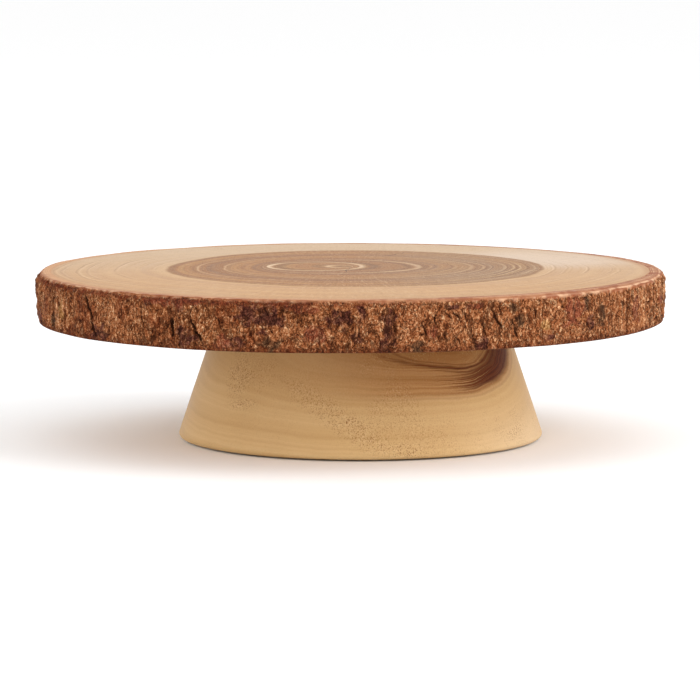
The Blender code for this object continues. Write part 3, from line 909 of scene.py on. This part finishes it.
def pedestal_material(foot, top, low, high):
    """Pale turned wood under satin oil, with fine pores and a dark heart that surfaces on the right."""
    paint = Paint("pedestal_wood")
    here, flat = paint.here(), paint.here((1.0, 1.0, 0.0))
    arcs, angle, z = heart_figure(paint, here, (foot + top) / 2)
    side = paint.remap(z, low, high, foot, top, smooth=False)
    on_side = paint.remap(paint.minus(side, paint.vector("LENGTH", flat)), UNDER_FROM, UNDER_TO, 1, 0)
    from_pith = paint.distance(flat, UNDER_PITH)
    from_pith = paint.math("MULTIPLY_ADD", paint.noise(flat, 22, 2), 0.006, from_pith)
    arcs = paint.blend(on_side, paint.math("MULTIPLY_ADD", from_pith, UNDER_RINGS, 1.2), arcs)
    bands = paint.noise_line(arcs, 3.3, 3, 0.6)
    lines = paint.noise_line(arcs, 9, 3, 0.6)
    fine = paint.noise_line(arcs, 38, 2, 0.6)
    cloud = paint.noise(here, 13, 3, 0.55)
    pale = turned_wood(paint, angle, z, low, high, cloud, bands, fine, on_side)
    colour, dark = turned_heart(paint, pale, arcs, angle, lines, fine)

    crowded = pore_crowding(paint, here, angle, z, (foot + top) / 2)
    crowded = paint.times(crowded, paint.remap(cloud, 0.3, 0.5, 0.5, 1))
    crowded = paint.blend(on_side, 0.35, crowded)
    speckle = paint.noise(paint.here((1, 1, 0.8)), 1500, 1, 0.6)
    specks = paint.times(paint.remap(speckle, 0.46, 0.33), crowded)
    flecks = paint.times(paint.remap(speckle, 0.56, 0.7), crowded)
    flecks = paint.times(flecks, paint.remap(dark, 0, 0.6, 0.45, 0.12))
    ticks = pores(paint, paint.here((1.0, 1.0, 0.14)), 120.0, 0.055, 0.16)
    marks = paint.larger(paint.times(specks, 0.66), paint.times(ticks, 0.85))
    colour = paint.mix(marks, colour, TURNED_PORES)
    colour = paint.mix(flecks, colour, TURNED_FLECKS)

    depth = paint.minus(paint.times(speckle, 0.3), marks)
    rough = paint.remap(bands, 0.2, 0.8, 0.42, 0.54)
    return paint.finish(
        Base_Color=colour, Roughness=rough, Normal=paint.bump(depth, 0.0003, 0.5), Specular_IOR_Level=0.1
    )


def centre_of(node):
    low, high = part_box(node)
    return Vector(((low.x + high.x) / 2, (low.y + high.y) / 2, 0.0))


def cut(piece, cutter_mesh, place):
    """Cuts a shape out of a piece for good."""
    cutter = bpy.data.objects.new("cutter", cutter_mesh)
    cutter.location = place
    bpy.context.scene.collection.objects.link(cutter)
    boolean = piece.modifiers.new("cut", "BOOLEAN")
    boolean.solver = "EXACT"
    boolean.object = cutter
    bpy.context.view_layer.update()
    made = bpy.data.meshes.new_from_object(piece.evaluated_get(bpy.context.evaluated_depsgraph_get()))
    piece.modifiers.clear()
    piece.data = made
    bpy.data.objects.remove(cutter)


def pedestal():
    low, high = pedestal_low, pedestal_high
    foot = (high.x - low.x) / 2
    points = np.array([v.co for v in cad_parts["pedestal"].data.vertices])
    crown = points[points[:, 2] > high.z - 0.0001]
    top = np.hypot(crown[:, 0] - PEDESTAL_AXIS.x, crown[:, 1] - PEDESTAL_AXIS.y).max()
    profile = []
    for a in quarter_turn(9):
        profile.append((foot - FOOT_ROUNDING * (1 - math.sin(a)), low.z + FOOT_ROUNDING * (1 - math.cos(a))))
    start = low.z + FOOT_ROUNDING
    for share in np.linspace(0.0, 1.0, PEDESTAL_ROWS)[1:]:
        profile.append((foot + (top - foot) * share, start + (high.z - start) * share))
    rings = [circle(radius, height, PEDESTAL_COLUMNS) for radius, height in profile]
    for ring in rings:
        for point in ring:
            wide = 1.0 + PEDESTAL_WAVER / foot * noise.noise(Vector(point) * 28.0)
            point[0] *= wide
            point[1] *= wide
    mesh = mesh_of_rings("pedestal_turned", rings)
    mesh.materials.append(pedestal_material(foot, top, low.z, high.z))
    piece = new_object("pedestal_turned", mesh, ["pedestal"], PEDESTAL_AXIS)
    for i in range(1, 5):
        for kind, name, clearance, steps in HOLES:
            seated_low, seated_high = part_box(f"{kind}_{i}")
            radius = (seated_high.x - seated_low.x) / 2 + clearance
            heights = (low.z - HOLE_OVERRUN, seated_high.z + SEAT_GAP)
            hole = [circle(radius, height, steps) for height in heights]
            cut(piece, mesh_of_rings(name, hole), centre_of(f"{kind}_{i}"))
    piece.data.shade_smooth()
    piece.data.set_sharp_from_angle(angle=math.radians(35))
    return piece


# ---- Screws, washers and pads ----


def steel_material():
    """Bright zinc plating, faintly clouded and scratched."""
    paint = Paint("zinc_plate")
    here = paint.here()
    cloud = paint.noise(here, 900, 3, 0.6)
    scratch = paint.noise(paint.here((1, 0.08, 0.3)), 9000, 2, 0.5)
    rough = paint.remap(scratch, 0.3, 0.7, 0.22, 0.42)
    bump = paint.bump(scratch, 0.00002, 0.3)
    return paint.finish(Base_Color=paint.ramp(cloud, *ZINC), Metallic=1.0, Roughness=rough, Normal=bump)


def felt_material():
    """Pressed brown felt: short tangled fibres with a soft sheen."""
    paint = Paint("pressed_felt")
    here = paint.here()
    fibres = paint.noise(here, 2600, 4, 0.75, 2.2)
    tufts = paint.noise(here, 500, 2, 0.6)
    mixed = paint.plus(paint.times(fibres, 0.7), paint.times(tufts, 0.3))
    colour, bump = paint.ramp(mixed, *FELT), paint.bump(mixed, 0.0004, 0.8)
    return paint.finish(Base_Color=colour, Roughness=0.95, Normal=bump, Sheen_Weight=0.5, Sheen_Roughness=0.5)


def screw_mesh(length, material):
    """A pan-head wood screw pointing up, its seat at height 0."""
    rings = [circle(HEAD_RADIUS * wide, -HEAD_HEIGHT * low, SCREW_STEPS) for wide, low in HEAD_PROFILE]
    rings.append(circle(THREAD_ROOT + 0.0003, 0.0, SCREW_STEPS))
    rings.append(circle(THREAD_ROOT, 0.0003, SCREW_STEPS))
    angles = np.arange(SCREW_STEPS) * math.tau / SCREW_STEPS
    for height in np.linspace(length - THREAD_LENGTH, length, int(THREAD_LENGTH / THREAD_PITCH * 10)):
        turn = (height / THREAD_PITCH - angles / math.tau) % 1.0
        ridge = np.maximum(0.0, 1.0 - np.abs(turn - 0.5) / THREAD_RIDGE_SHARE)
        fade = min(1.0, (height - length + THREAD_LENGTH) / THREAD_PITCH)
        point = max(min(1.0, (length - height) / POINT_LENGTH), POINT_SHARE)
        radius = (THREAD_ROOT + (THREAD_CREST - THREAD_ROOT) * ridge * fade) * point
        rings.append(circle(radius, height, SCREW_STEPS))
    mesh = mesh_of_rings("screw", rings, sharp=math.radians(30))
    mesh.materials.append(material)
    return mesh


def cross_mesh():
    """The cutter for the cross recess, tapering upwards."""
    corners = ((RECESS_LONG, -RECESS_SHORT), (RECESS_LONG, RECESS_SHORT), (RECESS_SHORT, RECESS_SHORT))
    outline = []
    for quarter in range(4):
        cos, sin = math.cos(math.pi / 2 * quarter), math.sin(math.pi / 2 * quarter)
        outline.extend((x * cos - y * sin, x * sin + y * cos) for x, y in corners)
    low = [(x, y, -HEAD_HEIGHT - 0.001) for x, y in outline]
    high = [(x * RECESS_TAPER, y * RECESS_TAPER, RECESS_DEPTH - HEAD_HEIGHT) for x, y in outline]
    return mesh_of_rings("cross", [low, high])


def washer_mesh(low, high, material):
    """A flat washer with its edges eased."""
    outer, ease = (high.x - low.x) / 2, WASHER_EASE
    inner, top = THREAD_CREST + SEAT_GAP, high.z - low.z
    section = (
        (inner + ease, 0.0), (outer - ease, 0.0), (outer, ease), (outer, top - ease),
        (outer - ease, top), (inner + ease, top), (inner, top - ease), (inner, ease),
    )
    mesh = mesh_of_rings("washer", [circle(r, z, WASHER_STEPS) for r, z in section], close_loop=True)
    mesh.materials.append(material)
    return mesh


def screws_and_washers():
    steel = steel_material()
    for i in range(1, 5):
        low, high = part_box(f"screw_{i}")
        place = centre_of(f"screw_{i}")
        place.z = low.z + HEAD_HEIGHT
        mesh = screw_mesh(high.z - place.z, steel)
        screw = new_object(f"screw_steel_{i}", mesh, [f"screw_{i}"], place)
        cut(screw, cross_mesh(), place)
        low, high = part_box(f"washer_{i}")
        place = centre_of(f"washer_{i}")
        place.z = low.z
        mesh = washer_mesh(low, high, steel)
        new_object(f"washer_steel_{i}", mesh, [f"washer_{i}"], place)


def felt_pads():
    """Pressed discs, flat where they bear on the table, with a slightly furred edge."""
    felt = felt_material()
    for i in range(1, 5):
        low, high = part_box(f"felt_pad_{i}")
        radius, thick, ease = (high.x - low.x) / 2, high.z - low.z, PAD_EASE
        profile = [(radius * share, 0.0) for share in np.linspace(0.08, 0.92, 22)]
        for a in quarter_turn(6):
            profile.append((radius - ease * (1 - math.sin(a)), ease * (1 - math.cos(a))))
        for a in quarter_turn(6):
            profile.append((radius - ease * (1 - math.cos(a)), thick - ease * (1 - math.sin(a))))
        profile += [(radius * share, thick) for share in np.linspace(0.92, 0.08, 12)]
        rings = [circle(r, z, PAD_STEPS) for r, z in profile]
        centre = centre_of(f"felt_pad_{i}")
        for ring in rings:
            for point in ring:
                here = Vector(point) + centre
                fuzz = noise.noise(here * 900.0) + 0.6 * noise.noise(here * 1900.0)
                point[0] *= 1.0 + PAD_FUZZ_ROUND * fuzz
                point[1] *= 1.0 + PAD_FUZZ_ROUND * fuzz
                point[2] = max(0.0, point[2] + PAD_FUZZ_FACE * fuzz - 0.00003)
        mesh = mesh_of_rings("pad", rings, sharp=math.radians(80))
        mesh.materials.append(felt)
        pad = new_object(f"pad_felt_{i}", mesh, [f"felt_pad_{i}"], centre)


# ---- Room ----


def room():
    camera_data = bpy.data.cameras.new("camera")
    camera_data.lens = CAMERA_LENS
    camera_data.sensor_width = 36.0
    camera = bpy.data.objects.new("camera", camera_data)
    camera.location = CAMERA_PLACE
    camera.rotation_euler = (math.pi / 2 + CAMERA_PITCH, 0.0, 0.0)
    bpy.context.scene.collection.objects.link(camera)
    bpy.context.scene.camera = camera

    bm = bmesh.new()
    bmesh.ops.create_grid(bm, x_segments=1, y_segments=1, size=FLOOR_SIZE / 2)
    mesh = bpy.data.meshes.new("floor")
    bm.to_mesh(mesh)
    bm.free()
    paint = Paint("pale_floor")
    mesh.materials.append(paint.finish(Base_Color=FLOOR_COLOUR, Roughness=0.9))
    floor = bpy.data.objects.new("floor", mesh)
    bpy.context.scene.collection.objects.link(floor)

    bpy.context.scene.view_settings.view_transform = "Standard"
    world = bpy.data.worlds.new("studio_air")
    world.use_nodes = True
    background = world.node_tree.nodes["Background"]
    background.inputs["Color"].default_value = AIR_COLOUR
    background.inputs["Strength"].default_value = AIR_STRENGTH
    bpy.context.scene.world = world
    for name, place, side, power in SOFT_BOXES:
        light = bpy.data.lights.new(name, "AREA")
        light.size = side
        light.energy = power
        box = bpy.data.objects.new(name, light)
        box.location = place
        aim = Vector((0.0, 0.0, TOP / 2)) - Vector(place)
        box.rotation_euler = aim.to_track_quat("-Z", "Y").to_euler()
        bpy.context.scene.collection.objects.link(box)


room()
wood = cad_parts["wood_slice"]
wood.data.materials.clear()
wood.data.materials.append(end_grain_material())
bark()
pedestal()
screws_and_washers()
felt_pads()
